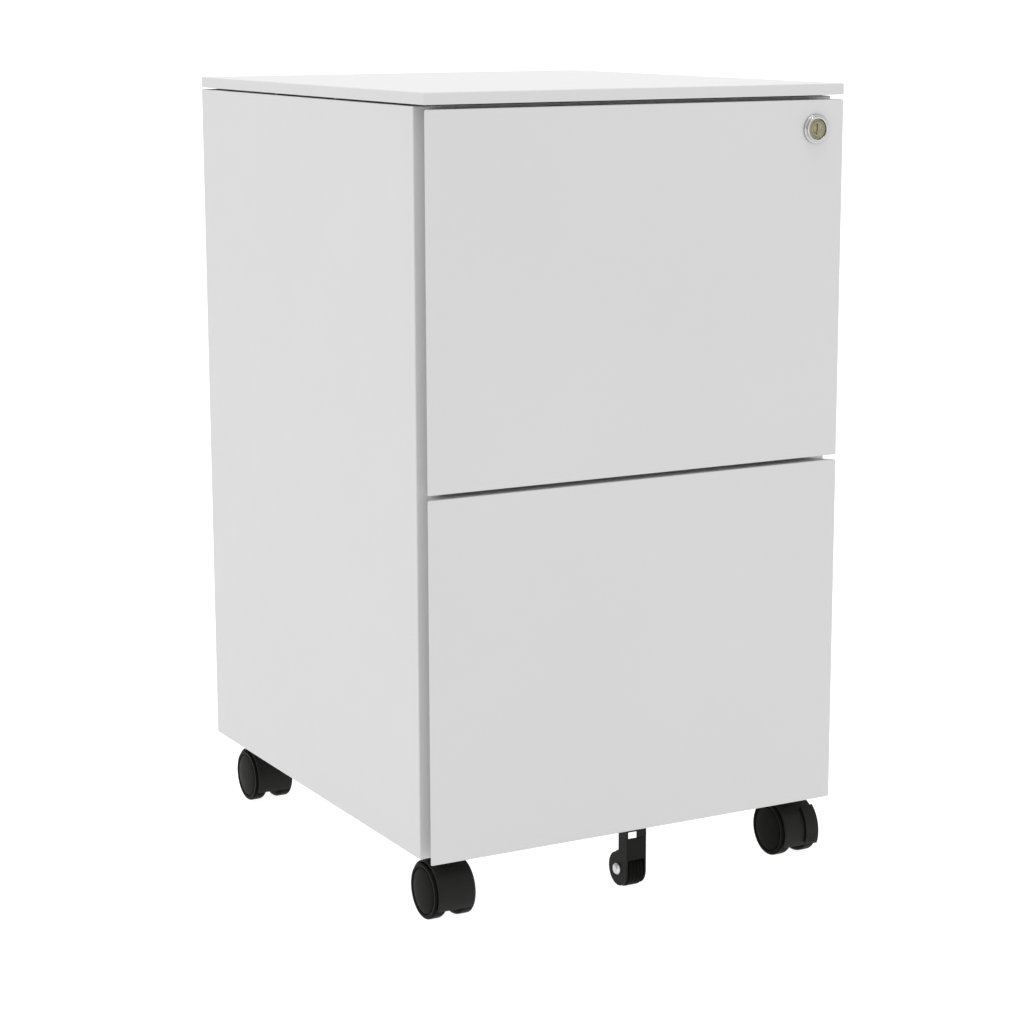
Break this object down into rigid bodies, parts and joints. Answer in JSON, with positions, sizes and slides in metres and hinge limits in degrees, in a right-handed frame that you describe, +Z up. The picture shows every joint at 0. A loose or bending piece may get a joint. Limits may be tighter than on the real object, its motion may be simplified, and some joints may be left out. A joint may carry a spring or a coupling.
{
  "type": "mobile filing cabinet",
  "caption": "Steel filing pedestal with deep file drawers behind flush fronts with side finger grips, a cam lock, and twin-wheel castors with a stabilising wheel.",
  "frame": {"origin": "on the floor under the middle of the cabinet", "axes": "drawers face -Y, +X to the right seen from the front, +Z up"},
  "size_m": [0.39, 0.4536, 0.67],
  "materials": {
    "painted_steel": "light grey powder coat, semi-matt",
    "zinc_steel": "bright zinc plate",
    "lock_chrome": "polished",
    "lock_brass": "dull brass",
    "caster_plastic": "satin black nylon",
    "black_steel": "black coated steel",
    "wheel_nylon": "black nylon tread"
  },
  "bodies": {
    "case": {"top_panel": "painted_steel", "top_stiffener": "zinc_steel", "side_panel_left": "painted_steel", "side_panel_right": "painted_steel", "back_panel": "painted_steel", "base_panel": "painted_steel", "top_rail": "painted_steel", "mid_rail": "painted_steel", "slide_post_left_front": "zinc_steel", "slide_post_left_rear": "zinc_steel", "slide_post_right_front": "zinc_steel", "slide_post_right_rear": "zinc_steel", "slide_outer_upper_left": "zinc_steel", "slide_outer_upper_right": "zinc_steel", "slide_outer_lower_left": "zinc_steel", "slide_outer_lower_right": "zinc_steel", "caster_stem_front_left": "zinc_steel", "caster_stem_front_right": "zinc_steel", "caster_stem_rear_left": "zinc_steel", "caster_stem_rear_right": "zinc_steel"},
    "slide_carriage_upper": {"slide_middle_upper_left": "zinc_steel", "slide_middle_upper_right": "zinc_steel"},
    "drawer_upper": {"drawer_front_upper": "painted_steel", "front_liner_upper": "painted_steel", "drawer_tray_upper": "painted_steel", "slide_inner_upper_left": "zinc_steel", "slide_inner_upper_right": "zinc_steel", "lock_housing": "lock_chrome", "lock_nut": "zinc_steel"},
    "slide_carriage_lower": {"slide_middle_lower_left": "zinc_steel", "slide_middle_lower_right": "zinc_steel"},
    "drawer_lower": {"drawer_front_lower": "painted_steel", "front_liner_lower": "painted_steel", "drawer_tray_lower": "painted_steel", "slide_inner_lower_left": "zinc_steel", "slide_inner_lower_right": "zinc_steel", "lock_catch": "zinc_steel", "stabiliser_bracket": "black_steel", "stabiliser_axle": "zinc_steel"},
    "lock_cylinder": {"lock_plug": "lock_brass", "lock_cam": "zinc_steel"},
    "locking_bar": {"lock_bar": "zinc_steel"},
    "stabiliser": {"stabiliser_wheel": "wheel_nylon"},
    "caster_front_left": {"caster_hood_front_left": "caster_plastic", "caster_axle_front_left": "zinc_steel"},
    "wheel_front_left_left": {"caster_wheel_front_left_left": "wheel_nylon"},
    "wheel_front_left_right": {"caster_wheel_front_left_right": "wheel_nylon"},
    "caster_front_right": {"caster_hood_front_right": "caster_plastic", "caster_axle_front_right": "zinc_steel"},
    "wheel_front_right_left": {"caster_wheel_front_right_left": "wheel_nylon"},
    "wheel_front_right_right": {"caster_wheel_front_right_right": "wheel_nylon"},
    "caster_rear_left": {"caster_hood_rear_left": "caster_plastic", "caster_axle_rear_left": "zinc_steel"},
    "wheel_rear_left_left": {"caster_wheel_rear_left_left": "wheel_nylon"},
    "wheel_rear_left_right": {"caster_wheel_rear_left_right": "wheel_nylon"},
    "caster_rear_right": {"caster_hood_rear_right": "caster_plastic", "caster_axle_rear_right": "zinc_steel"},
    "wheel_rear_right_left": {"caster_wheel_rear_right_left": "wheel_nylon"},
    "wheel_rear_right_right": {"caster_wheel_rear_right_right": "wheel_nylon"},
    "brake": {"brake_lever": "caster_plastic"}
  },
  "joints": [
    {"name": "drawer_upper_slide", "type": "slide", "parent": "case", "child": "drawer_upper", "axis": [0, -1, 0], "range_m": [0, 0.37]},
    {"name": "slide_upper_extend", "type": "slide", "parent": "case", "child": "slide_carriage_upper", "axis": [0, -1, 0], "range_m": [0, 0.185]},
    {"name": "drawer_lower_slide", "type": "slide", "parent": "case", "child": "drawer_lower", "axis": [0, -1, 0], "range_m": [0, 0.37]},
    {"name": "slide_lower_extend", "type": "slide", "parent": "case", "child": "slide_carriage_lower", "axis": [0, -1, 0], "range_m": [0, 0.185]},
    {"name": "lock_turn", "type": "hinge", "parent": "drawer_upper", "child": "lock_cylinder", "pos_m": [0.167, -0.21255, 0.633], "axis": [0, 1, 0], "range_deg": [0, 90.5]},
    {"name": "lock_bar_slide", "type": "slide", "parent": "case", "child": "locking_bar", "axis": [0, 0, -1], "range_m": [0, 0.008]},
    {"name": "stabiliser_spin", "type": "hinge", "parent": "drawer_lower", "child": "stabiliser", "pos_m": [0, -0.20625, 0.017], "axis": [1, 0, 0], "continuous": true},
    {"name": "caster_swivel_front_left", "type": "hinge", "parent": "case", "child": "caster_front_left", "pos_m": [-0.169, -0.17825, 0.0515], "axis": [0, 0, 1], "continuous": true},
    {"name": "wheel_spin_front_left_left", "type": "hinge", "parent": "caster_front_left", "child": "wheel_front_left_left", "pos_m": [-0.181, -0.19425, 0.02335], "axis": [1, 0, 0], "continuous": true},
    {"name": "wheel_spin_front_left_right", "type": "hinge", "parent": "caster_front_left", "child": "wheel_front_left_right", "pos_m": [-0.157, -0.19425, 0.02335], "axis": [1, 0, 0], "continuous": true},
    {"name": "caster_swivel_front_right", "type": "hinge", "parent": "case", "child": "caster_front_right", "pos_m": [0.169, -0.17825, 0.0515], "axis": [0, 0, 1], "continuous": true},
    {"name": "wheel_spin_front_right_left", "type": "hinge", "parent": "caster_front_right", "child": "wheel_front_right_left", "pos_m": [0.157, -0.19425, 0.02335], "axis": [1, 0, 0], "continuous": true},
    {"name": "wheel_spin_front_right_right", "type": "hinge", "parent": "caster_front_right", "child": "wheel_front_right_right", "pos_m": [0.181, -0.19425, 0.02335], "axis": [1, 0, 0], "continuous": true},
    {"name": "caster_swivel_rear_left", "type": "hinge", "parent": "case", "child": "caster_rear_left", "pos_m": [-0.169, 0.19175, 0.0515], "axis": [0, 0, 1], "continuous": true},
    {"name": "wheel_spin_rear_left_left", "type": "hinge", "parent": "caster_rear_left", "child": "wheel_rear_left_left", "pos_m": [-0.181, 0.17575, 0.02335], "axis": [1, 0, 0], "continuous": true},
    {"name": "wheel_spin_rear_left_right", "type": "hinge", "parent": "caster_rear_left", "child": "wheel_rear_left_right", "pos_m": [-0.157, 0.17575, 0.02335], "axis": [1, 0, 0], "continuous": true},
    {"name": "caster_swivel_rear_right", "type": "hinge", "parent": "case", "child": "caster_rear_right", "pos_m": [0.169, 0.19175, 0.0515], "axis": [0, 0, 1], "continuous": true},
    {"name": "wheel_spin_rear_right_left", "type": "hinge", "parent": "caster_rear_right", "child": "wheel_rear_right_left", "pos_m": [0.157, 0.17575, 0.02335], "axis": [1, 0, 0], "continuous": true},
    {"name": "wheel_spin_rear_right_right", "type": "hinge", "parent": "caster_rear_right", "child": "wheel_rear_right_right", "pos_m": [0.181, 0.17575, 0.02335], "axis": [1, 0, 0], "continuous": true},
    {"name": "brake_press", "type": "hinge", "parent": "caster_front_right", "child": "brake", "pos_m": [0.169, -0.19425, 0.02335], "axis": [1, 0, 0], "range_deg": [0, 15]}
  ],
  "couplings": [
    {"joint": "slide_upper_extend", "follows": "drawer_upper_slide", "ratio": 0.5},
    {"joint": "slide_lower_extend", "follows": "drawer_lower_slide", "ratio": 0.5},
    {"joint": "lock_turn", "follows": "lock_bar_slide", "rad_per_m": 196.35}
  ]
}
